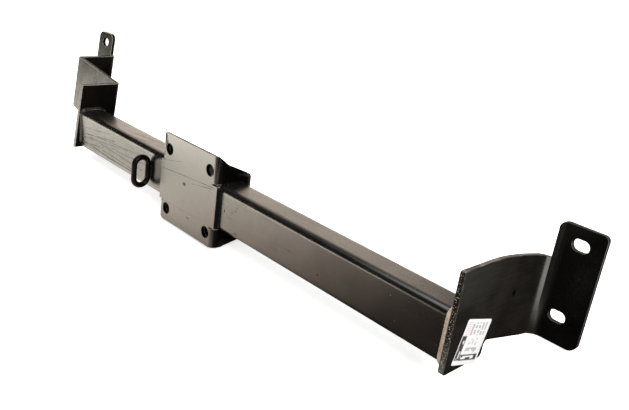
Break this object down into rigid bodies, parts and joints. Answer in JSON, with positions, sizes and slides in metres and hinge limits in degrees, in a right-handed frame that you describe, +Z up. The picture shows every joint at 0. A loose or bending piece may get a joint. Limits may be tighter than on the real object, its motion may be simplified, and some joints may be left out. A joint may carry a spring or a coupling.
{
  "type": "towbar",
  "caption": "Fixed vehicle towbar: rectangular cross tube with a drilled towball saddle, a breakaway eye and a folded chassis bracket at each end.",
  "frame": {"origin": "centre of the four towball holes, on the rear face of the saddle plate", "axes": "+X across the vehicle towards the end with the label, +Y forward towards the vehicle, +Z up; the towball side faces -Y"},
  "size_m": [0.9732, 0.1934, 0.178],
  "materials": {
    "black_paint": "satin",
    "weld_metal": "satin, rippled",
    "label_paper": "matte"
  },
  "bodies": {
    "root": {"cross_tube": "black_paint", "towball_saddle": "black_paint", "right_end_bracket": "black_paint", "left_end_bracket": "black_paint", "breakaway_eye": "black_paint", "paper_label": "label_paper", "right_weld_rear": "weld_metal", "right_weld_front": "weld_metal", "right_weld_top": "weld_metal", "right_weld_bottom": "weld_metal", "left_weld_rear": "weld_metal", "left_weld_front": "weld_metal", "left_weld_top": "weld_metal", "saddle_weld_left": "weld_metal", "saddle_weld_upper_left": "weld_metal", "saddle_weld_lower_left": "weld_metal", "saddle_weld_right": "weld_metal", "saddle_weld_upper_right": "weld_metal", "saddle_weld_lower_right": "weld_metal", "eye_weld_left": "weld_metal", "eye_weld_right": "weld_metal"}
  },
  "joints": []
}
